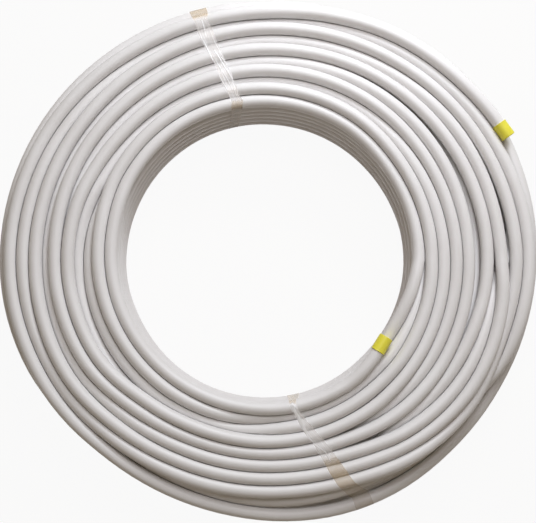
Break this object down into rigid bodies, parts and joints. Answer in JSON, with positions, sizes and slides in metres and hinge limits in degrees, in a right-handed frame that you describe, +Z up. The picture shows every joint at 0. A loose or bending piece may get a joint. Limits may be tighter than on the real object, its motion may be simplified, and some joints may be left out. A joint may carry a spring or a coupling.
{
  "type": "coil of multilayer pipe",
  "caption": "Flat-lying coil of white multilayer plastic pipe, wound in nested layers round an open bore, with capped ends and clear tape bands.",
  "frame": {"origin": "on the coil's axis, at the floor that it lies on", "axes": "+Z up along the coil's axis, towards the face that both pipe ends leave; +X at bearing 0, with the outer end's cap at a bearing of about 29 degrees and the inner end's cap at about 322 degrees, both counted from +X towards +Y"},
  "size_m": [0.663, 0.663, 0.1125],
  "materials": {
    "pipe": "satin white cross-linked polyethylene",
    "cap": "moulded soft yellow polyethylene",
    "tape": "clear packing tape, creased"
  },
  "bodies": {
    "root": {"pipe_coil": "pipe", "end_cap_outer": "cap", "end_cap_inner": "cap", "tape_band_far": "tape", "tape_band_near": "tape"}
  },
  "joints": []
}
